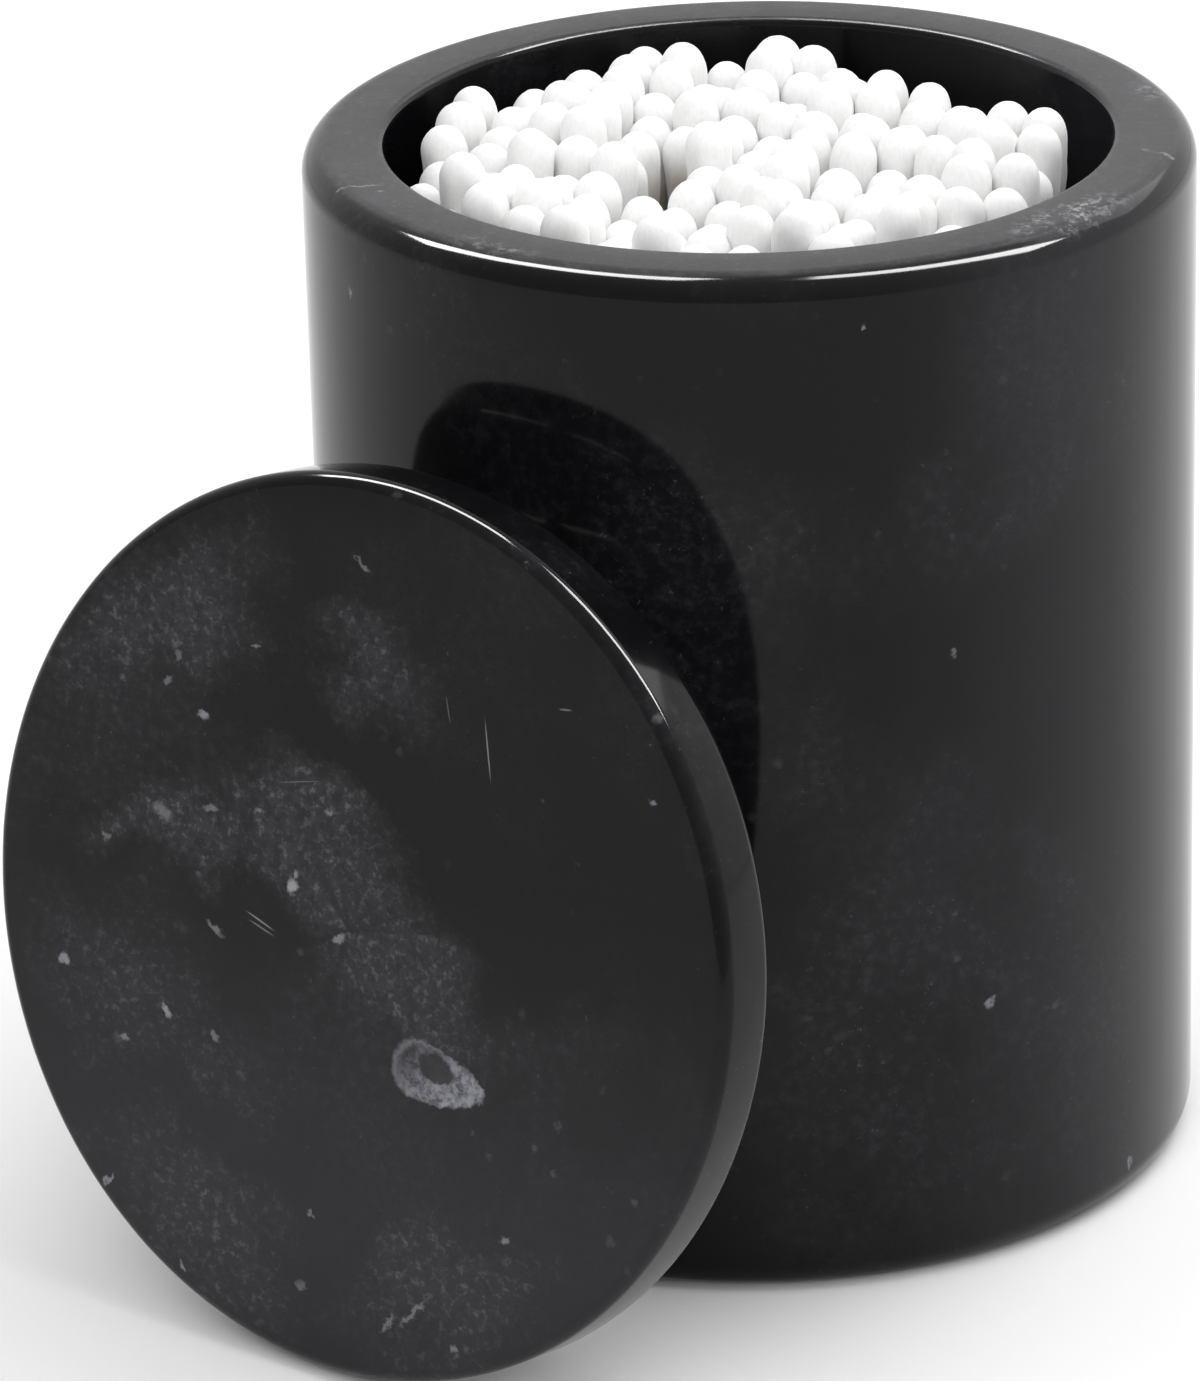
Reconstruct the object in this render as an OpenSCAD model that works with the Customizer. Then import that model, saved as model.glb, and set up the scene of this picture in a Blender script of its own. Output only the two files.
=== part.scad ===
// Cotton swab holder: a turned stone jar full of swabs, with its lid leaning on the front.
// Z is up, the jar's axis is the Z axis, and its foot stands on z = 0. The front looks along -Y.

/* [Jar] */
// Outer diameter of the jar and of the lid
jar_diameter = 80; // [78:1:90]
// Height of the open jar
jar_height = 96; // [95:1:110]
// Thickness of the side wall
wall = 7.5; // [6.5:0.5:8.5]
// Thickness of the floor
floor_thickness = 17.5; // [12:0.5:18]
// Rounding of the rim's outer edge
rim_round = 2.5; // [1:0.5:3]
// Rounding of the rim's inner edge
rim_inner_round = 0.8; // [0.4:0.2:2]
// Rounding where the bore meets the floor
well_round = 1; // [0.5:0.5:1.5]
// Rounding of the foot's edge
foot_round = 3; // [1:0.5:5]

/* [Lid] */
// Thickness of the lid's disc
lid_thickness = 7; // [6:0.5:10]
// Rounding of the lid's upper edge
lid_top_round = 1.2; // [0.6:0.2:3]
// Rounding of the lid's lower edge
lid_under_round = 1.6; // [0.8:0.2:2.4]
// Height of the plug under the disc
plug_height = 8.5; // [4:0.5:12]
// Radial room between the plug and the jar's bore
plug_clearance = 0.8; // [0.4:0.1:1.5]
// Rounding of the plug's edge
plug_round = 1; // [0.4:0.2:2]
// Lean of the lid from upright
lid_lean = 10; // [5:0.2:16]
// Where the lid leans, in degrees from the front towards the left
lid_direction = 36; // [-90:1:90]

/* [Swabs] */
// Mean length of a swab
swab_length = 78; // [70:0.5:79]
// How far the longest and the shortest swab differ
length_spread = 4; // [0:0.2:4]
// Diameter of a stick
stick_diameter = 2.3; // [1.8:0.1:2.6]
// Largest diameter of a cotton tip
tip_diameter = 4; // [3.4:0.1:4.1]
// Length of a cotton tip
tip_length = 11; // [9:0.5:14]
// Length of a tip's domed nose
nose_length = 2.8; // [2.2:0.2:3.4]
// Diameter of a tip where the cotton ends on the stick
tip_tail_diameter = 2.9; // [2.7:0.1:3.2]
// Length of stick that the cotton covers
stick_seat = 7; // [4:0.5:8]

/* [Bundle] */
// Distance that the bundle stands off the jar's axis, towards the front left
bundle_shift = 1.5; // [1:0.1:2]
// Spread of the lower tips, as a share of the spread of the upper tips
lower_spread = 0.94; // [0.92:0.01:1]
// Turn of the upper tips against the lower tips, in degrees
bundle_twist = 7; // [-10:1:10]
// Turn of the rows against the X axis, in degrees
row_turn = 11; // [0:1:20]
// Free space left at the back right, measured in from the bore's wall
free_depth = 8.5; // [7.5:0.5:10]

/* [Hidden] */
$fn = 96;
tip_fn = 24;
jar_radius = jar_diameter / 2;
bore_radius = jar_radius - wall;
lid_radius = jar_radius;
plug_radius = bore_radius - plug_clearance;
over = 1;

// The plug's edge rests on the jar's wall, a hair off it, and the lid's lower edge stands on z = 0
rest_gap = 0.02;
lid_depth = lid_thickness + plug_height - plug_round;
lid_reach = jar_radius + rest_gap + plug_round
    + lid_depth * cos(lid_lean) + (plug_radius - plug_round) * sin(lid_lean);
lid_lift = lid_under_round + (lid_thickness - lid_under_round) * sin(lid_lean)
    + (lid_radius - lid_under_round) * cos(lid_lean);

// The swabs stand in staggered rows inside a circle that just clears the bore
rows = 15;
wall_gap = 0.18 * tip_diameter;
bundle_radius = bore_radius - tip_diameter / 2 - wall_gap - bundle_shift;
row_pitch = 2 * bundle_radius / (rows - 1);
swab_pitch = row_pitch / cos(30);
free_direction = 45;
free_line = bore_radius - free_depth;
upper_jitter = 0.075 * tip_diameter;
lower_jitter = 0.025 * tip_diameter;
seed = 172;

// Missing swabs leave a small hollow near the front, longer than wide, where the sticks show
hollow_at = bundle_radius * [-0.25, -0.16];
hollow_width = 0.6 * swab_pitch;
hollow_depth = 1.3 * swab_pitch;

row_names = [for (r = [1 : rows]) str(r < 10 ? "0" : "", r)];

stone = [0.13, 0.13, 0.14];
cotton = [0.96, 0.96, 0.95];
birch = [0.78, 0.62, 0.42];

// Rules for the places of the swabs

function turned(p, angle) = [
    p[0] * cos(angle) - p[1] * sin(angle),
    p[0] * sin(angle) + p[1] * cos(angle)
];

// Number of swabs that fit in a row, odd and even by turns so that the rows are staggered
function row_y(row) = (row - (rows + 1) / 2) * row_pitch;
function row_room(row) = sqrt(max(0, pow(bundle_radius, 2) - pow(row_y(row), 2)));
function row_count(row) = let (most = 1 + floor(2 * row_room(row) / swab_pitch + 0.001))
    (most - row) % 2 == 0 ? most : most - 1;

function bundle_centre() = -bundle_shift * [cos(free_direction), sin(free_direction)];
function nominal(row, i) =
    turned([(i - (row_count(row) - 1) / 2) * swab_pitch, row_y(row)], row_turn);
function is_free(p) = p * [cos(free_direction), sin(free_direction)] > free_line;
function in_hollow(p) = let (away = p - hollow_at)
    norm([away[0] / hollow_width, away[1] / hollow_depth]) < 1;

// One swab: where its lower nose stands, where its upper nose points, and its length
function swab(p, luck) = let (
    lower = bundle_centre() + lower_spread * p + lower_jitter * [luck[0], luck[1]],
    upper = bundle_centre() + turned(p, bundle_twist) + upper_jitter * [luck[2], luck[3]]
) [lower, upper, swab_length + luck[4] * length_spread / 2];

function swabs(row) = let (luck = rands(-1, 1, 5 * row_count(row), seed + row)) [
    for (i = [0 : row_count(row) - 1])
        let (p = nominal(row, i), top = bundle_centre() + turned(p, bundle_twist))
            if (!is_free(top) && !in_hollow(top))
                swab(p, [for (k = [0 : 4]) luck[5 * i + k]])
];

// Height of the nose's centre over the floor when the swab leans
function nose_height(lean) =
    norm([tip_diameter / 2 * sin(lean), nose_length * cos(lean)]);

// Puts a swab drawn along +Z from its lower nose in its place in the jar
module place_swab(s) {
    offset = s[1] - s[0];
    lean = asin(norm(offset) / s[2]);
    translate([s[0][0], s[0][1], floor_thickness + nose_height(lean)])
        rotate([0, lean, atan2(offset[1], offset[0])])
            translate([0, 0, -nose_length])
                children();
}

// Corner waste outside a quarter round, in the first quadrant
module corner_waste(r) {
    difference() {
        square(r + over);
        circle(r);
    }
}

// Half section of a turned solid that stands on the X axis, with its two outer edges rounded
module round_section(radius, height, lower_round, upper_round) {
    difference() {
        square([radius, height]);
        translate([radius - upper_round, height - upper_round])
            corner_waste(upper_round);
        translate([radius - lower_round, lower_round])
            mirror([0, 1])
                corner_waste(lower_round);
    }
}

module jar() {
    color(stone)
        rotate_extrude()
            difference() {
                round_section(jar_radius, jar_height, foot_round, rim_round);
                translate([0, floor_thickness])
                    difference() {
                        square([bore_radius, jar_height]);
                        translate([bore_radius - well_round, well_round])
                            mirror([0, 1])
                                corner_waste(well_round);
                    }
                translate([bore_radius + rim_inner_round, jar_height - rim_inner_round])
                    mirror([1, 0])
                        corner_waste(rim_inner_round);
            }
}

// The lid as turned: its plug down, its disc on top, and the middle of its upper face at the origin
module turned_lid() {
    rotate_extrude()
        union() {
            translate([0, -lid_thickness])
                round_section(lid_radius, lid_thickness, lid_under_round, lid_top_round);
            translate([0, -lid_thickness - plug_height])
                difference() {
                    square([plug_radius, plug_height + over]);
                    translate([plug_radius - plug_round, plug_round])
                        mirror([0, 1])
                            corner_waste(plug_round);
                }
        }
}

module lid() {
    color(stone)
        rotate([0, 0, -lid_direction])
            translate([0, -lid_reach, lid_lift])
                rotate([90 - lid_lean, 0, 0])
                    turned_lid();
}

// A cotton tip with its nose at the origin, its tail along +Z and a blind seat for the stick
module cotton_tip() {
    nose = [for (a = [0 : 15 : 90])
        [tip_diameter / 2 * sin(a), nose_length * (1 - cos(a))]];
    body_length = tip_length - nose_length;
    taper = (tip_diameter - tip_tail_diameter) / 2;
    body = [for (t = [0.25 : 0.25 : 1])
        [tip_diameter / 2 - taper * (1 - cos(180 * t)) / 2, nose_length + body_length * t]];
    rotate_extrude($fn = tip_fn)
        polygon(concat(nose, body, [
            [stick_diameter / 2, tip_length],
            [stick_diameter / 2, tip_length - stick_seat],
            [0, tip_length - stick_seat]
        ]));
}

module swab_sticks(row) {
    covered = tip_length - stick_seat;
    color(birch)
        for (s = swabs(row))
            place_swab(s)
                translate([0, 0, covered])
                    cylinder(d = stick_diameter, h = s[2] - 2 * covered, $fn = tip_fn);
}

module lower_cotton_tips(row) {
    color(cotton)
        for (s = swabs(row))
            place_swab(s)
                cotton_tip();
}

module upper_cotton_tips(row) {
    color(cotton)
        for (s = swabs(row))
            place_swab(s)
                translate([0, 0, s[2]])
                    mirror([0, 0, 1])
                        cotton_tip();
}

jar();
lid();
for (r = [1 : rows]) {
    swab_sticks(r);
    upper_cotton_tips(r);
    lower_cotton_tips(r);
}
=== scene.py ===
import math
import random

import bmesh
import bpy
from mathutils import Matrix, Vector, noise


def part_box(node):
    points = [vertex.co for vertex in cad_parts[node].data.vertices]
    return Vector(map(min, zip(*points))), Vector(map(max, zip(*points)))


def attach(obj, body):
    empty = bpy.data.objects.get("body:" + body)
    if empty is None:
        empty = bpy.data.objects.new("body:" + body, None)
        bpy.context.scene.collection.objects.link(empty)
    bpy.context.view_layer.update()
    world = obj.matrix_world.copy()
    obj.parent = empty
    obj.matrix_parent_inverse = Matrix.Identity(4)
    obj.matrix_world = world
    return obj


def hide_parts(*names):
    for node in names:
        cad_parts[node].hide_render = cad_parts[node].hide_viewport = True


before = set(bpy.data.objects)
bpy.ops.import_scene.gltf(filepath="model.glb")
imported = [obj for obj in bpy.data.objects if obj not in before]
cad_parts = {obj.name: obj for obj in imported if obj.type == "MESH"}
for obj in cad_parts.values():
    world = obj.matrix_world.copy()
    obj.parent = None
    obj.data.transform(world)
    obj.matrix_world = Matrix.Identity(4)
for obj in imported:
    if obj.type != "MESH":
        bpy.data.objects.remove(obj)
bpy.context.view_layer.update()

# Everything is in metres. The jar's axis is the Z axis and the front looks along -Y
MM = 0.001
ROWS = 15

# The camera at the photograph's viewing angle
CAMERA_DISTANCE = 686 * MM
CAMERA_RISE = 22.14
AIM_HEIGHT = 50 * MM
CAMERA_PAN = -1.31
CAMERA_TILT = -22.76
CAMERA_ROLL = -1.49
LENS_PIXELS = 7478
PHOTO_HEIGHT = 1381
SENSOR = 36

# Sizes of the turned stone that the frame's boxes don't give
WALL = 7.5 * MM
FLOOR_THICKNESS = 17.5 * MM
RIM_ROUND = 2.5 * MM
RIM_INNER_ROUND = 0.8 * MM
WELL_ROUND = 1.0 * MM
FOOT_ROUND = 3.0 * MM
LID_THICKNESS = 7.0 * MM
LID_TOP_ROUND = 1.2 * MM
LID_UNDER_ROUND = 1.6 * MM
PLUG_HEIGHT = 8.5 * MM
PLUG_CLEARANCE = 0.8 * MM
PLUG_ROUND = 1.0 * MM


# Helpers for shader nodes

class Tree:
    """A material's node tree, with short calls for its usual nodes."""

    def __init__(self, name):
        self.material = bpy.data.materials.new(name)
        self.material.use_nodes = True
        self.nodes = self.material.node_tree.nodes
        self.links = self.material.node_tree.links
        self.shader = self.nodes["Principled BSDF"]

    def add(self, kind, **settings):
        node = self.nodes.new("ShaderNode" + kind)
        for key, value in settings.items():
            setattr(node, key, value)
        return node

    def put(self, socket, value):
        if isinstance(value, bpy.types.NodeSocket):
            self.links.new(value, socket)
        else:
            socket.default_value = value

    def math(self, operation, a, b=0.0, clamp=False):
        node = self.add("Math", operation=operation, use_clamp=clamp)
        self.put(node.inputs[0], a)
        self.put(node.inputs[1], b)
        return node.outputs[0]

    def vector(self, operation, a, b=(0, 0, 0)):
        node = self.add("VectorMath", operation=operation)
        self.put(node.inputs[0], a)
        self.put(node.inputs[1], b)
        return node.outputs["Value" if operation in ("LENGTH", "DISTANCE") else "Vector"]

    def place(self):
        return self.add("TexCoord").outputs["Object"]

    def stretch(self, place, scale):
        return self.vector("MULTIPLY", place, scale)

    def noise(self, place, size, detail=4.0, rough=0.55, output="Fac"):
        """Noise whose features are about size metres across."""
        node = self.add("TexNoise")
        self.put(node.inputs["Vector"], place)
        node.inputs["Scale"].default_value = 1 / size
        node.inputs["Detail"].default_value = detail
        node.inputs["Roughness"].default_value = rough
        return node.outputs[output]

    def cells(self, place, size, feature="F1"):
        """Voronoi cells about size metres across: the distance in cell widths, and a colour for each cell."""
        node = self.add("TexVoronoi", feature=feature)
        self.put(node.inputs["Vector"], place)
        node.inputs["Scale"].default_value = 1 / size
        return node.outputs["Distance"], node.outputs["Color"]

    def ramp(self, value, low, high, to_low=0.0, to_high=1.0):
        node = self.add("MapRange", interpolation_type="SMOOTHSTEP")
        self.put(node.inputs["Value"], value)
        node.inputs["From Min"].default_value = low
        node.inputs["From Max"].default_value = high
        node.inputs["To Min"].default_value = to_low
        node.inputs["To Max"].default_value = to_high
        return node.outputs["Result"]

    def mix(self, share, a, b):
        node = self.add("Mix", data_type="RGBA")
        self.put(node.inputs["Factor"], share)
        self.put(node.inputs[6], a)
        self.put(node.inputs[7], b)
        return node.outputs[2]

    def axis(self, place, name):
        node = self.add("SeparateXYZ")
        self.put(node.inputs[0], place)
        return node.outputs[name]

    def bump(self, height, strength, distance):
        node = self.add("Bump")
        node.inputs["Strength"].default_value = strength
        node.inputs["Distance"].default_value = distance
        self.put(node.inputs["Height"], height)
        self.put(self.shader.inputs["Normal"], node.outputs["Normal"])


def grey(level, blue=1.0):
    return (level, level, level * blue, 1)


# Materials

INK = grey(0.0030, 1.25)
HAZE = grey(0.034, 1.12)
FLECK = grey(0.13, 1.06)
CALCITE = grey(0.27, 1.10)


def marble_base(tree, place, clouds, dust):
    """Black marble: ink ground, haze in its own clouds and in the given ones, and specks as strong as dust."""
    warp = tree.vector("SUBTRACT", tree.noise(place, 9 * MM, 1.0, output="Color"), (0.5,) * 3)
    bent = tree.vector("ADD", place, tree.stretch(warp, (3.2 * MM,) * 3))
    cloud = tree.ramp(tree.noise(bent, 34 * MM, 5.0, 0.6), 0.44, 0.70)
    cloud = tree.math("MAXIMUM", cloud, clouds)
    grain = tree.ramp(tree.noise(place, 1.1 * MM, 3.0, 0.7), 0.41, 0.79)
    lightening = tree.math("MULTIPLY", cloud, tree.math("ADD", tree.math("MULTIPLY", grain, 0.75), 0.25))
    colour = tree.mix(tree.math("MULTIPLY", lightening, 0.7), INK, HAZE)
    density = tree.math("ADD", tree.math("MULTIPLY", cloud, 0.85), 0.15)
    fine = tree.noise(place, 0.8 * MM, 3.0, 0.8)
    crumbs = tree.math("MULTIPLY", tree.ramp(fine, 0.60, 0.74), cloud)
    colour = tree.mix(tree.math("MULTIPLY", crumbs, 0.22), colour, FLECK)
    specks = tree.math("MULTIPLY", tree.ramp(fine, 0.66, 0.73), density)
    colour = tree.mix(tree.math("MULTIPLY", specks, 0.6 * dust), colour, FLECK)
    for size, reach, share, strength in ((2.2, 0.26, 0.70, 0.7), (7.0, 0.09, 0.78, 0.9)):
        wander = tree.noise(place, size * 0.30 * MM, 1.0, 0.7, "Color")
        shifted = tree.vector("ADD", place, tree.stretch(wander, (size * 0.38 * MM,) * 3))
        distance, tint = tree.cells(shifted, size * MM)
        breadth = tree.math("ADD", tree.math("POWER", tree.axis(tint, "Y"), 2.5), 0.3)
        dot = tree.ramp(tree.math("DIVIDE", distance, breadth), reach * 0.3, reach, 1.0, 0.0)
        chosen = tree.ramp(tree.axis(tint, "X"), share, min(1.0, share + 0.2))
        amount = tree.math("MULTIPLY", tree.math("MULTIPLY", dot, chosen), density)
        colour = tree.mix(tree.math("MULTIPLY", amount, strength * dust), colour, FLECK)
    return colour


def ragged(tree, place, amount):
    """The place shifted by fine noise, so that a mark drawn on it gets an uneven edge."""
    wander = tree.vector("SUBTRACT", tree.noise(place, 1.1 * MM, 2.0, 0.75, "Color"), (0.5,) * 3)
    return tree.vector("ADD", place, tree.stretch(wander, (amount * MM,) * 3))


def away(tree, place, centre, stretch=(1, 1, 1), turn=0.0):
    """Distance from centre in units of stretch, with the X axis of the stretch turned by turn degrees."""
    mapping = tree.add("Mapping", vector_type="TEXTURE")
    tree.put(mapping.inputs["Vector"], place)
    mapping.inputs["Location"].default_value = Vector(centre) * MM
    mapping.inputs["Rotation"].default_value = (0, 0, math.radians(turn))
    mapping.inputs["Scale"].default_value = Vector(stretch) * MM
    return tree.vector("LENGTH", mapping.outputs["Vector"])


def marks(tree, place, spots, soft=0.65):
    """Strength of a set of marks. Each has a centre, length, width, turn and strength, in mm and degrees."""
    total = 0.0
    for centre, length, width, turn, strength in spots:
        distance = away(tree, place, centre, (length / 2, width / 2, width), turn)
        total = tree.math("MAXIMUM", total, tree.ramp(distance, 1 - soft, 1, strength, 0.0))
    return total


def polished(tree, colour, roughness):
    tree.put(tree.shader.inputs["Base Color"], colour)
    tree.put(tree.shader.inputs["Roughness"], roughness)
    tree.shader.inputs["IOR"].default_value = 1.5
    tree.shader.inputs["Specular IOR Level"].default_value = 0.16


# Marks that the photograph shows on the rim and wall: centre, length, width, turn, strength
JAR_MARKS = (
    ((36.9, -9.2, 96), 3.2, 0.5, -36, 0.6), ((38.6, -10.6, 96), 2.0, 0.5, -20, 0.5),
    ((35.0, -7.9, 96), 1.6, 0.6, -50, 0.35), ((-33.8, -13.6, 96), 5.0, 0.55, 4, 0.55),
    ((-32.4, -15.0, 96), 1.0, 0.8, 0, 0.55), ((-36.0, -13.9, 96), 1.8, 0.6, 20, 0.4),
    ((20.2, -34.5, 25.7), 1.6, 0.9, 60, 0.55), ((33.2, -22.3, 3.6), 1.0, 1.0, 0, 0.5),
    ((-35.1, -19.2, 88.3), 0.9, 0.9, 0, 0.5), ((9.5, -38.9, 91), 0.5, 0.5, 0, 0.5),
    ((17.0, -36.2, 60), 0.8, 0.6, 0, 0.35),
)
RIM_CLOUDS = (
    ((27.5, -24.6, 96), 19, 6, 49, 1.0), ((36.2, 9.0, 96), 9, 5, 100, 0.5),
    ((-22.0, -30.0, 96), 12, 4, -36, 0.45),
)
WALL_CLOUDS = (
    ((24.0, -32.0, 87), 26, 16, 53, 0.55), ((36.0, -17.5, 60), 20, 26, 60, 0.55),
    ((13.0, -37.8, 42), 22, 16, 20, 0.35),
)


def jar_marble():
    tree = Tree("black_marble_jar")
    place = tree.place()
    uneven = ragged(tree, place, 1.7)
    wall_clouds = marks(tree, uneven, WALL_CLOUDS, 0.9)
    colour = marble_base(tree, place, tree.math("MULTIPLY", wall_clouds, 0.7), 0.4)
    height = tree.axis(place, "Z")
    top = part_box("jar")[1].z
    on_rim = tree.ramp(height, top - 0.35 * MM, top - 0.06 * MM)
    crumbs = tree.ramp(tree.noise(place, 0.9 * MM, 3.0, 0.75), 0.465, 0.64)
    drift = tree.ramp(tree.noise(place, 4 * MM, 4.0, 0.6), 0.34, 0.52)
    grain = tree.math("ADD", tree.math("MULTIPLY", crumbs, 0.5), 0.5)
    colour = tree.mix(tree.math("MULTIPLY", tree.math("MULTIPLY", wall_clouds, grain), 0.6), colour, HAZE)
    # Painted reflection: the stone is made paler towards its right side (+X), standing in for the brighter
    # surroundings reflected there.
    painted_right_reflection = tree.ramp(tree.axis(place, "X"), 8 * MM, 38 * MM, 0.0, 0.42)
    colour = tree.mix(painted_right_reflection, colour, HAZE)
    smear = tree.ramp(tree.noise(place, 5 * MM, 4.0, 0.7), 0.5, 0.827)
    worn = tree.math("MULTIPLY", on_rim, tree.math("ADD", tree.math("MULTIPLY", smear, 0.6), 0.40))
    colour = tree.mix(worn, colour, grey(0.045, 1.1))
    dust = tree.ramp(tree.noise(place, 0.55 * MM, 2.0, 0.8), 0.50, 0.75)
    colour = tree.mix(tree.math("MULTIPLY", tree.math("MULTIPLY", dust, on_rim), 0.22), colour, FLECK)
    cloud = tree.math("MULTIPLY", tree.math("MULTIPLY", marks(tree, uneven, RIM_CLOUDS, 0.8), crumbs), drift)
    colour = tree.mix(cloud, colour, CALCITE)
    colour = tree.mix(marks(tree, uneven, JAR_MARKS), colour, CALCITE)
    wall_roughness = tree.ramp(tree.noise(place, 14 * MM, 1.0), 0.24, 0.89, 0.075, 0.13)
    rim_roughness = tree.ramp(tree.noise(place, 2.5 * MM, 2.0), 0.27, 0.845, 0.26, 0.36)
    step = tree.add("Mix", data_type="FLOAT")
    tree.put(step.inputs[0], on_rim)
    tree.put(step.inputs[2], wall_roughness)
    tree.put(step.inputs[3], rim_roughness)
    polished(tree, colour, step.outputs[0])
    tree.bump(tree.noise(place, 18 * MM, 1.0), 0.09, 0.5 * MM)
    return tree.material


# Marks that the photograph shows on the lid's face
LID_MARKS = (
    ((-6.5, 2.5, 0), 1.9, 1.5, 70, 0.9), ((-6.3, 3.7, 0), 1.2, 0.6, 80, 0.6),
    ((-17.5, 15.4, 0), 1.9, 1.1, -8, 0.7), ((-1.0, -0.8, 0), 2.2, 1.0, 28, 0.55),
    ((-14.7, -3.2, 0), 2.8, 0.8, -28, 0.45), ((-19.4, -12.0, 0), 2.4, 0.9, -38, 0.75),
    ((-31.4, -10.0, 0), 1.6, 1.1, 10, 0.7), ((-13.8, -13.0, 0), 1.9, 0.8, -50, 0.4),
    ((-24.0, -15.6, 0), 1.3, 0.9, 0, 0.5), ((-24.6, -29.0, 0), 2.3, 0.8, 50, 0.6),
    ((-15.7, -34.9, 0), 1.5, 0.7, -30, 0.6), ((-1.8, -26.2, 0), 1.0, 0.7, 0, 0.45),
    ((-2.3, -33.0, 0), 1.6, 1.1, -30, 0.3), ((19.2, -23.1, 0), 1.3, 1.1, 0, 0.5),
    ((14.7, -34.0, 0), 0.9, 0.8, 0, 0.5), ((10.1, -32.1, 0), 5.2, 0.7, 48, 0.42),
    ((7.5, -33.9, 0), 3.4, 0.8, 52, 0.4), ((-21.8, 17.7, 0), 1.2, 1.1, 0, 0.35),
    ((-20.7, 20.1, 0), 1.0, 1.6, 0, 0.28), ((-12.4, 22.7, 0), 1.7, 0.7, 12, 0.4),
    ((-21.4, 5.8, 0), 3.0, 1.7, -24, 0.35), ((-15.9, 7.3, 0), 2.4, 0.8, 0, 0.35),
    ((-10.6, 8.3, 0), 1.5, 0.8, 0, 0.4), ((-3.0, 9.9, 0), 1.4, 0.7, -15, 0.45),
    ((-27.4, 2.2, 0), 1.2, 0.9, 0, 0.35), ((-1.4, 32.3, 0), 3.0, 0.6, -30, 0.4),
    ((30.7, 18.7, 0), 1.2, 0.8, 0, 0.5),
)
LID_SCRATCHES = (
    ((13.3, 19.2, 0), 6.4, 0.20, -78, 0.55), ((8.8, 21.8, 0), 3.0, 0.16, -74, 0.25),
    ((-9.7, -1.4, 0), 4.0, 0.22, -18, 0.6), ((-9.5, -2.0, 0), 3.6, 0.20, -16, 0.45),
    ((-6.6, 11.9, 0), 5.4, 0.14, 14, 0.3), ((21.0, 24.5, 0), 1.6, 0.22, 8, 0.4),
)
LID_CLOUDS = (
    ((-17.1, 6.0, 0), 34, 12, 8, 0.8), ((-3.1, 6.5, 0), 29, 16, -28, 1.0), ((7.9, -3.0, 0), 31, 16, -22, 1.0),
    ((-22.1, 23.5, 0), 39, 21, 40, 0.75), ((-0.1, 23.5, 0), 21, 12, 0, 0.55),
    ((-25.1, -10.5, 0), 31, 21, -40, 0.55), ((-13.1, -31.5, 0), 39, 18, -24, 0.65),
    ((13.9, -29.5, 0), 34, 18, 20, 0.9), ((-14.1, -14.5, 0), 21, 16, 0, 0.4),
)


def inclusion(tree, place):
    """The shell-like ring in the lid's face: how much of it is white, and how much is the dark core."""
    egg = tree.add("Mapping", vector_type="TEXTURE")
    tree.put(egg.inputs["Vector"], place)
    egg.inputs["Location"].default_value = Vector((10.8, -10.6, 0)) * MM
    egg.inputs["Rotation"].default_value = (0, 0, math.radians(-6))
    egg.inputs["Scale"].default_value = Vector((5.3, 2.65, 3)) * MM
    along = tree.axis(egg.outputs["Vector"], "X")
    narrowing = tree.math("ADD", tree.math("MULTIPLY", along, 0.38), 1.0)
    flat = tree.add("CombineXYZ")
    tree.put(flat.inputs["X"], along)
    tree.put(flat.inputs["Y"], tree.math("MULTIPLY", tree.axis(egg.outputs["Vector"], "Y"), narrowing))
    tree.put(flat.inputs["Z"], tree.axis(egg.outputs["Vector"], "Z"))
    outline = tree.vector("LENGTH", flat.outputs[0])
    inside = tree.ramp(outline, 0.88, 1.0, 1.0, 0.0)
    seam = tree.math("MULTIPLY", tree.ramp(outline, 0.72, 0.92), inside)
    core = tree.ramp(away(tree, place, (10.4, -9.8, 0), (2.1, 1.3, 3), -14), 0.80, 1.06, 1.0, 0.0)
    lighter = tree.ramp(
        tree.math("SUBTRACT", tree.axis(place, "X"), tree.math("MULTIPLY", tree.axis(place, "Y"), 1.3)),
        18.5 * MM, 27.5 * MM, 0.14, 0.74)
    mottle = tree.ramp(tree.noise(place, 1.4 * MM, 3.0, 0.75), 0.36, 0.616, 0.25, 1.0)
    body = tree.math("MULTIPLY", tree.math("MULTIPLY", inside, lighter), mottle)
    white = tree.math("MAXIMUM", body, tree.math("MULTIPLY", seam, 0.34))
    return white, core


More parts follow.
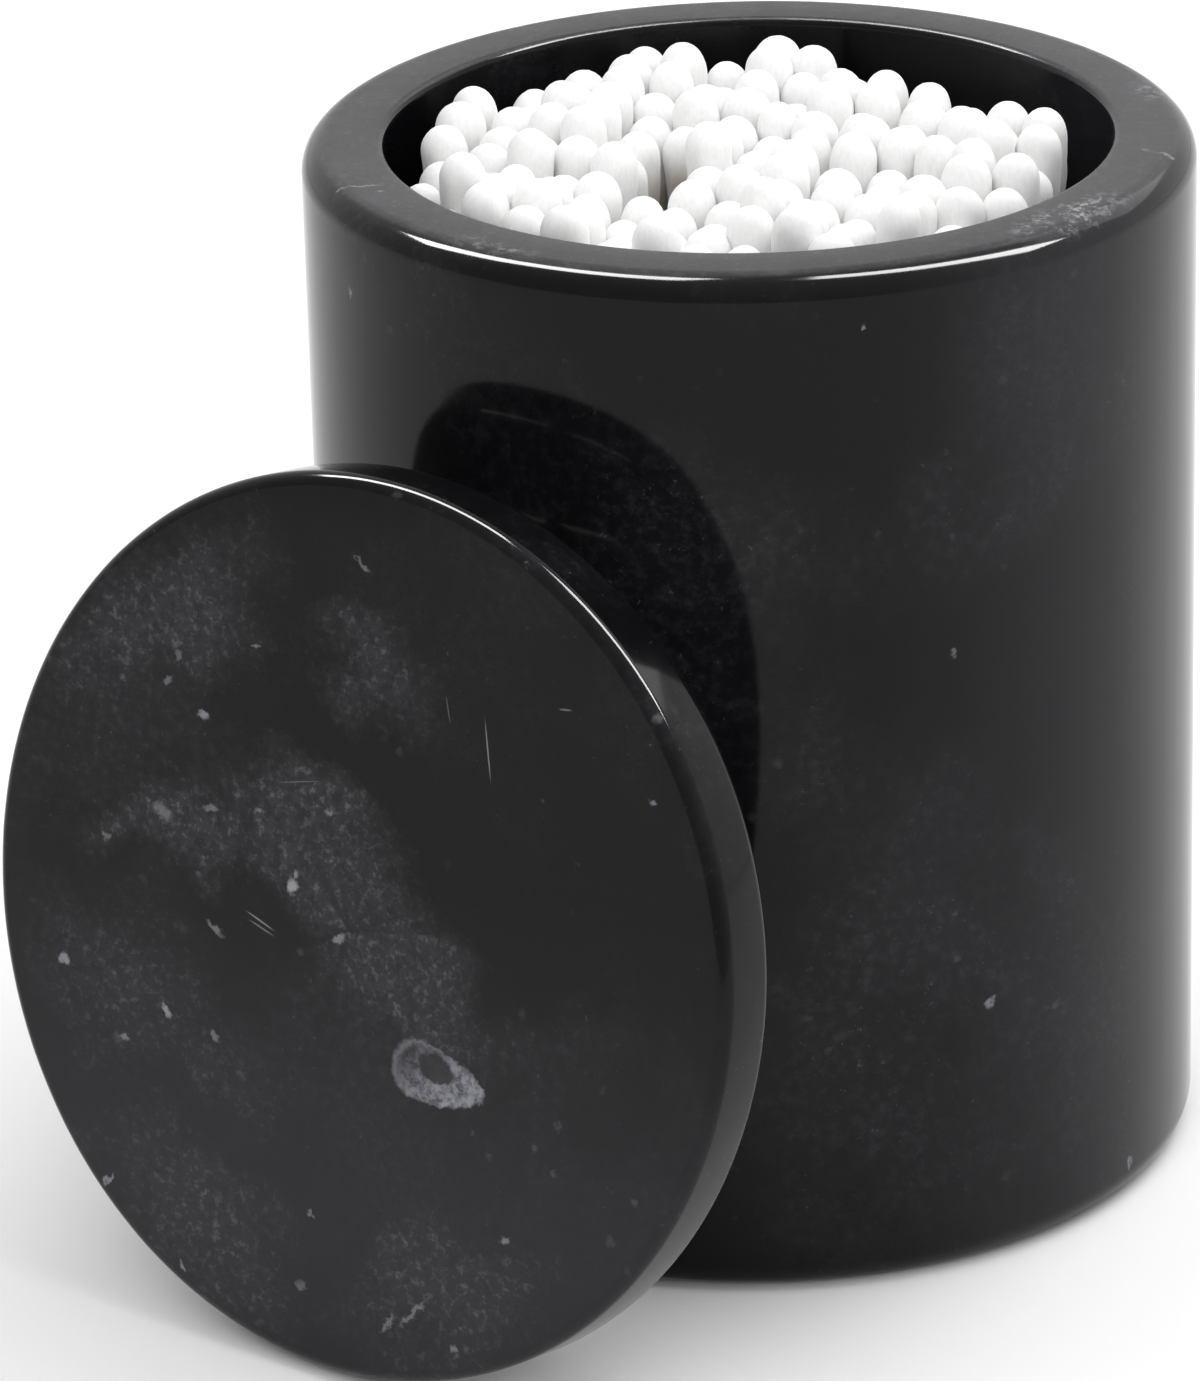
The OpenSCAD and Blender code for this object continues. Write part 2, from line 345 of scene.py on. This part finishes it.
def lid_marble():
    tree = Tree("black_marble_lid")
    place = tree.place()
    drift = tree.vector("SUBTRACT", tree.noise(place, 11 * MM, 1.0, 0.6, "Color"), (0.5,) * 3)
    drifted = tree.vector("ADD", ragged(tree, place, 4.6), tree.stretch(drift, (17 * MM,) * 3))
    clouds = tree.math("MULTIPLY", marks(tree, drifted, LID_CLOUDS, 0.95), 1.5, clamp=True)
    colour = marble_base(tree, place, clouds, 1.0)
    uneven = ragged(tree, place, 1.7)
    # Painted reflection: the face is made paler towards its lower edge (low Y), standing in for the brighter
    # reflection there.
    lightening = tree.ramp(tree.axis(place, "Y"), -30 * MM, 8 * MM, 0.50, 0.0)
    colour = tree.mix(lightening, colour, HAZE)
    grain = tree.ramp(tree.noise(place, 1.6 * MM, 3.0, 0.75), 0.355, 0.72)
    cloud = tree.math("MULTIPLY", clouds, tree.math("ADD", tree.math("MULTIPLY", grain, 0.75), 0.25))
    colour = tree.mix(tree.math("MULTIPLY", cloud, 0.75), colour, HAZE)
    crumbs = tree.ramp(tree.noise(place, 0.9 * MM, 2.0, 0.75), 0.50, 0.672)
    colour = tree.mix(tree.math("MULTIPLY", tree.math("MULTIPLY", cloud, crumbs), 0.55), colour, FLECK)
    colour = tree.mix(marks(tree, uneven, LID_MARKS), colour, CALCITE)
    colour = tree.mix(marks(tree, place, LID_SCRATCHES, 0.5), colour, CALCITE)
    white, core = inclusion(tree, ragged(tree, place, 1.15))
    colour = tree.mix(white, colour, grey(0.30, 1.14))
    colour = tree.mix(tree.math("MULTIPLY", core, 0.92), colour, grey(0.020, 1.1))
    polished(tree, colour, tree.ramp(tree.noise(place, 14 * MM, 1.0), 0.24, 0.89, 0.07, 0.12))
    tree.bump(tree.noise(place, 18 * MM, 1.0), 0.07, 0.5 * MM)
    return tree.material


def cotton(with_painted_shade):
    """Wound cotton. A tip given painted shade is mixed towards the birch's brown deep between its neighbours and
    in a hollow among them: painted shade where the tips shade each other, partly also the stick showing through
    thin cotton.
    """
    tree = Tree("wound_cotton" if with_painted_shade else "wound_cotton_below")
    place = tree.place()
    fibre = tree.noise(tree.stretch(place, (1, 1, 0.35)), 0.35 * MM, 2.0, 0.65)
    colour = tree.mix(tree.ramp(fibre, 0.19, 0.81), (0.80, 0.80, 0.795, 1), (0.87, 0.87, 0.865, 1))
    if with_painted_shade:
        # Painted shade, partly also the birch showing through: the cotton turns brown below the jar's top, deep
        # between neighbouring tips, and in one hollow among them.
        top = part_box("jar")[1].z
        height = tree.axis(place, "Z")
        painted_deep_shade = tree.ramp(height, top - 9.5 * MM, top - 6.5 * MM, 0.55, 0.0)
        painted_hollow_shade = tree.ramp(away(tree, place, (-6.6, 1.5, 88.5), (3.2, 5.0, 4.2)), 0.4, 1, 0.85, 0.0)
        colour = tree.mix(tree.math("MAXIMUM", painted_deep_shade, painted_hollow_shade), colour, (0.30, 0.185, 0.095, 1))
    tree.put(tree.shader.inputs["Base Color"], colour)
    tree.shader.inputs["Roughness"].default_value = 0.92
    tree.shader.inputs["Specular IOR Level"].default_value = 0.15
    tree.shader.inputs["Sheen Weight"].default_value = 0.25
    tree.shader.inputs["Sheen Roughness"].default_value = 0.6
    tree.bump(fibre, 0.26, 0.08 * MM)
    return tree.material


def birch():
    tree = Tree("birch_wood")
    place = tree.place()
    grain = tree.noise(tree.stretch(place, (1, 1, 0.06)), 0.5 * MM, 4.0, 0.6)
    tree.put(
        tree.shader.inputs["Base Color"],
        tree.mix(tree.ramp(grain, 0.3, 0.7), (0.42, 0.26, 0.13, 1), (0.70, 0.50, 0.30, 1)))
    tree.put(tree.shader.inputs["Roughness"], tree.ramp(grain, 0.3, 0.7, 0.7, 0.55))
    tree.bump(grain, 0.3, 0.05 * MM)
    return tree.material


# Turned stone

def arc(centre, radius, start, stop, steps):
    """Points of an arc in a half section, from start to stop degrees, where 0 is outwards and 90 is up."""
    turn = [math.radians(start + (stop - start) * i / steps) for i in range(steps + 1)]
    return [(centre[0] + radius * math.cos(a), centre[1] + radius * math.sin(a)) for a in turn]


def refined(section, longest):
    """The section with its long stretches cut into steps no longer than longest."""
    points = [section[0]]
    for (r0, z0), (r1, z1) in zip(section, section[1:]):
        steps = max(1, math.ceil(math.hypot(r1 - r0, z1 - z0) / longest))
        points += [(r0 + (r1 - r0) * i / steps, z0 + (z1 - z0) * i / steps) for i in range(1, steps + 1)]
    return points


def turned(name, section, around=288):
    """A solid of revolution whose half section starts and ends on the axis."""
    mesh = bmesh.new()
    rings = []
    for radius, height in section:
        if radius < 1e-7:
            rings.append([mesh.verts.new((0, 0, height))])
            continue
        angles = [2 * math.pi * i / around for i in range(around)]
        rings.append([mesh.verts.new((radius * math.cos(a), radius * math.sin(a), height)) for a in angles])
    for low, high in zip(rings, rings[1:]):
        for i in range(around):
            j = (i + 1) % around
            if len(low) == 1:
                mesh.faces.new((low[0], high[j], high[i]))
            elif len(high) == 1:
                mesh.faces.new((low[i], low[j], high[0]))
            else:
                mesh.faces.new((low[i], low[j], high[j], high[i]))
    bmesh.ops.recalc_face_normals(mesh, faces=mesh.faces)
    data = bpy.data.meshes.new(name)
    mesh.to_mesh(data)
    mesh.free()
    data.shade_smooth()
    piece = bpy.data.objects.new(name, data)
    bpy.context.scene.collection.objects.link(piece)
    return piece


def unevenness(piece, amount, size, near_height, reach):
    """Hand finishing: the stone wanders by amount near an edge at near_height and is true elsewhere."""
    for vertex in piece.data.vertices:
        share = max(0.0, 1 - abs(vertex.co.z - near_height) / reach)
        radial = Vector((vertex.co.x, vertex.co.y, 0))
        if share and radial.length:
            shift = noise.noise(vertex.co / size) * amount * share
            vertex.co -= radial.normalized() * abs(shift)


def build_jar():
    low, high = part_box("jar")
    radius = (high.x - low.x) / 2
    height = high.z
    bore = radius - WALL
    section = [(0, 0)]
    section += arc((radius - FOOT_ROUND, FOOT_ROUND), FOOT_ROUND, -90, 0, 10)
    section += arc((radius - RIM_ROUND, height - RIM_ROUND), RIM_ROUND, 0, 90, 14)
    section += arc((bore + RIM_INNER_ROUND, height - RIM_INNER_ROUND), RIM_INNER_ROUND, 90, 180, 8)
    section += arc((bore - WELL_ROUND, FLOOR_THICKNESS + WELL_ROUND), WELL_ROUND, 0, -90, 6)
    section += [(0, FLOOR_THICKNESS)]
    piece = turned("stone_jar", refined(section, 4 * MM))
    unevenness(piece, 0.05 * MM, 9 * MM, height, RIM_ROUND)
    piece.data.materials.append(jar_marble())
    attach(piece, "root")
    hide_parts("jar")


def widest_face(node):
    """The centre and outward normal of the largest flat face of a CAD node."""
    areas = {}
    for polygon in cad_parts[node].data.polygons:
        depth = round(polygon.center.dot(polygon.normal) / MM)
        key = (depth, *(round(c, 2) for c in polygon.normal))
        area, weighted, normal = areas.get(key, (0.0, Vector(), Vector()))
        areas[key] = (
            area + polygon.area, weighted + polygon.center * polygon.area, normal + polygon.normal * polygon.area)
    area, weighted, normal = max(areas.values(), key=lambda entry: entry[0])
    return weighted / area, normal.normalized()


def build_lid():
    low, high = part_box("jar")
    radius = (high.x - low.x) / 2
    plug = radius - WALL - PLUG_CLEARANCE
    under = -LID_THICKNESS
    foot = under - PLUG_HEIGHT
    section = [(0, foot)]
    section += arc((plug - PLUG_ROUND, foot + PLUG_ROUND), PLUG_ROUND, -90, 0, 8)
    section += [(plug, under)]
    section += arc((radius - LID_UNDER_ROUND, under + LID_UNDER_ROUND), LID_UNDER_ROUND, -90, 0, 8)
    section += arc((radius - LID_TOP_ROUND, -LID_TOP_ROUND), LID_TOP_ROUND, 0, 90, 14)
    section += [(0, 0)]
    piece = turned("stone_lid", refined(section, 4 * MM))
    unevenness(piece, 0.06 * MM, 7 * MM, 0, LID_TOP_ROUND)
    centre, normal = widest_face("lid")
    across = Vector((0, 0, 1)).cross(normal).normalized()
    up = normal.cross(across)
    turn = Matrix((across, up, normal)).transposed().to_4x4()
    piece.matrix_world = Matrix.Translation(centre) @ turn
    piece.data.materials.append(lid_marble())
    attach(piece, "root")
    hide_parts("lid")


# Cotton swabs

def islands(node):
    """The separate solids of a CAD node, each as a list of its points."""
    mesh = bmesh.new()
    mesh.from_mesh(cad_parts[node].data)
    bmesh.ops.remove_doubles(mesh, verts=mesh.verts, dist=1e-6)
    mesh.verts.ensure_lookup_table()
    seen = set()
    found = []
    for start in mesh.verts:
        if start.index in seen:
            continue
        seen.add(start.index)
        stack = [start]
        points = []
        while stack:
            vertex = stack.pop()
            points.append(vertex.co.copy())
            for edge in vertex.link_edges:
                other = edge.other_vert(vertex)
                if other.index not in seen:
                    seen.add(other.index)
                    stack.append(other)
        found.append(points)
    mesh.free()
    return found


def stick_ends(points):
    """The middle of a stick's lower end and of its upper end."""
    middle = sum((p.z for p in points)) / len(points)
    ends = []
    for side in ([p for p in points if p.z < middle], [p for p in points if p.z >= middle]):
        ends.append(sum(side, Vector()) / len(side))
    return ends


def bud_radius(t, widest):
    """Radius of a wound tip, from the nose at 0 to the tail at 1, where widest is its largest radius."""
    nose = 0.25
    if t < nose:
        return widest * math.sqrt(max(0.0, 1 - (1 - t / nose) ** 2.2))
    fall = (t - nose) / (1 - nose)
    return widest * (1 - 0.30 * fall ** 1.7)


def add_bud(mesh, nose, axis, length, widest, stick_radius, rings, around, seed):
    """Adds one wound cotton tip to mesh: a lopsided bud from its nose down to a tucked tail on the stick."""
    side = axis.orthogonal().normalized()
    other = axis.cross(side)
    luck = random.Random(seed)
    swell = widest * luck.uniform(1.02, 1.13)
    lean = (luck.uniform(-0.2, 0.2) * widest, luck.uniform(-0.2, 0.2) * widest)
    squash = luck.uniform(-0.07, 0.07)
    turn = luck.uniform(0, 2 * math.pi)
    offset = Vector((luck.uniform(0, 50), luck.uniform(0, 50), luck.uniform(0, 50)))
    rows = []
    for k in range(rings + 1):
        t = (k / rings) ** 1.35
        radius = max(bud_radius(t, swell), stick_radius * 1.02 if t > 0.5 else 0)
        if k == rings:
            radius = stick_radius * 1.02
        along = nose - axis * (length * t)
        shift = math.cos(0.5 * math.pi * min(1, t * 1.4))
        row = []
        if k == 0:
            rows.append([mesh.verts.new(along + side * lean[0] + other * lean[1])])
            continue
        for i in range(around):
            a = 2 * math.pi * i / around
            wind = noise.noise(Vector((math.cos(a) * 1.2, math.sin(a) * 1.2, t * 3.2 + a * 0.25)) + offset)
            lump = noise.noise(Vector((math.cos(a) * 3, math.sin(a) * 3, t * 9)) + offset)
            r = radius * (1 + 0.06 * wind + 0.025 * lump + squash * math.cos(2 * (a + turn)) * (1 - t))
            point = side * (math.cos(a) * r + lean[0] * shift) + other * (math.sin(a) * r + lean[1] * shift)
            row.append(mesh.verts.new(along + point))
        rows.append(row)
    for i in range(around):
        mesh.faces.new((rows[0][0], rows[1][(i + 1) % around], rows[1][i]))
    for low, high in zip(rows[1:], rows[2:]):
        for i in range(around):
            j = (i + 1) % around
            mesh.faces.new((low[i], low[j], high[j], high[i]))


def build_tips(row, kind, sticks, rings, around, material):
    """Wound cotton tips in place of a row's plain ones, each on the end of its stick."""
    node = f"{kind}_cotton_tips_row_{row:02d}"
    mesh = bmesh.new()
    for number, points in enumerate(islands(node)):
        middle = sum(points, Vector()) / len(points)
        lower, upper = min(sticks, key=lambda ends: (ends[kind == "upper"] - middle).length)
        outwards = (upper - lower).normalized() * (1 if kind == "upper" else -1)
        end = upper if kind == "upper" else lower
        reach = [(p - end).dot(outwards) for p in points]
        nose = end + outwards * max(reach)
        widest = max(((p - end) - outwards * (p - end).dot(outwards)).length for p in points)
        stick_radius = min(
            ((p - end) - outwards * (p - end).dot(outwards)).length for p, r in zip(points, reach) if r < -1 * MM)
        add_bud(
            mesh, nose, outwards, max(reach) - min(reach), widest, stick_radius, rings, around,
            1000 * row + 2 * number + (kind == "upper"))
    bmesh.ops.recalc_face_normals(mesh, faces=mesh.faces)
    data = bpy.data.meshes.new(f"wound_{kind}_tips_{row:02d}")
    mesh.to_mesh(data)
    mesh.free()
    data.shade_smooth()
    data.materials.append(material)
    piece = bpy.data.objects.new(f"wound_{kind}_tips_{row:02d}", data)
    bpy.context.scene.collection.objects.link(piece)
    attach(piece, "root")
    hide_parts(node)


def build_swabs():
    wood = birch()
    upper_wool = cotton(True)
    lower_wool = cotton(False)
    for row in range(1, ROWS + 1):
        node = f"swab_sticks_row_{row:02d}"
        sticks = [stick_ends(points) for points in islands(node)]
        build_tips(row, "upper", sticks, 22, 28, upper_wool)
        build_tips(row, "lower", sticks, 12, 16, lower_wool)
        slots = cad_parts[node].data.materials
        slots.clear()
        slots.append(wood)


# The set

def build_floor():
    bpy.ops.mesh.primitive_plane_add(size=8)
    floor = bpy.context.object
    floor.name = "floor"
    tree = Tree("pale_floor")
    tree.shader.inputs["Base Color"].default_value = (0.86, 0.86, 0.86, 1)
    tree.shader.inputs["Roughness"].default_value = 0.9
    tree.shader.inputs["Specular IOR Level"].default_value = 0.0
    floor.data.materials.append(tree.material)


def softbox(name, place, aim, size, power, diffuse=True, glossy=True):
    light = bpy.data.lights.new(name, "AREA")
    light.shape = "RECTANGLE"
    light.size, light.size_y = size
    light.energy = power
    lamp = bpy.data.objects.new(name, light)
    lamp.location = place
    lamp.rotation_euler = (Vector(aim) - Vector(place)).to_track_quat("-Z", "Y").to_euler()
    lamp.visible_diffuse = diffuse
    lamp.visible_glossy = glossy
    bpy.context.scene.collection.objects.link(lamp)


def build_light():
    world = bpy.data.worlds.new("studio")
    world.use_nodes = True
    bpy.context.scene.world = world
    nodes = world.node_tree.nodes
    links = world.node_tree.links
    direction = nodes.new("ShaderNodeTexCoord")
    facing = nodes.new("ShaderNodeVectorMath")
    facing.operation = "DOT_PRODUCT"
    facing.inputs[1].default_value = Vector((0.55, 0.75, 0.35)).normalized()
    links.new(direction.outputs["Generated"], facing.inputs[0])
    level = nodes.new("ShaderNodeMapRange")
    level.interpolation_type = "SMOOTHSTEP"
    level.inputs["From Min"].default_value = -0.8
    level.inputs["From Max"].default_value = 0.6
    level.inputs["To Min"].default_value = 0.55
    level.inputs["To Max"].default_value = 1.06
    links.new(facing.outputs["Value"], level.inputs["Value"])
    links.new(level.outputs["Result"], nodes["Background"].inputs["Strength"])
    nodes["Background"].inputs["Color"].default_value = (1, 1, 1, 1)
    softbox("back_right_softbox", (0.9, 0.9, 1.1), (0, 0, 0.05), (1.0, 0.8), 4.5)
    softbox("overhead_softbox", (0.6, 0.1, 1.5), (0, -0.1, 0), (1.2, 1.2), 8, glossy=False)
    softbox("front_softbox", (-0.2, -1.3, 1.1), (0, 0, 0.08), (1.2, 1.0), 7, glossy=False)
    softbox("left_strip", (-0.52, 0.30, 1.2), (0, 0, 0.05), (0.30, 0.95), 50, diffuse=False)
    softbox("right_strip", (0.62, 0.05, 1.2), (0, 0, 0.05), (0.30, 1.0), 50, diffuse=False)


def build_camera():
    rise = math.radians(CAMERA_RISE)
    pan = math.radians(CAMERA_PAN)
    tilt = math.radians(CAMERA_TILT)
    roll = math.radians(CAMERA_ROLL)
    place = Vector((0, -CAMERA_DISTANCE * math.cos(rise), AIM_HEIGHT + CAMERA_DISTANCE * math.sin(rise)))
    ahead = Vector((math.sin(pan) * math.cos(tilt), math.cos(pan) * math.cos(tilt), math.sin(tilt)))
    level_right = ahead.cross(Vector((0, 0, 1))).normalized()
    level_up = level_right.cross(ahead)
    right = level_right * math.cos(roll) + level_up * math.sin(roll)
    up = level_up * math.cos(roll) - level_right * math.sin(roll)
    data = bpy.data.cameras.new("camera")
    data.sensor_fit = "VERTICAL"
    data.sensor_height = SENSOR
    data.lens = LENS_PIXELS / PHOTO_HEIGHT * SENSOR
    data.clip_start = 0.01
    camera = bpy.data.objects.new("camera", data)
    camera.matrix_world = Matrix.Translation(place) @ Matrix((right, up, -ahead)).transposed().to_4x4()
    bpy.context.scene.collection.objects.link(camera)
    bpy.context.scene.camera = camera


bpy.context.scene.view_settings.view_transform = "Standard"
build_camera()
build_light()
build_floor()
build_jar()
build_lid()
build_swabs()
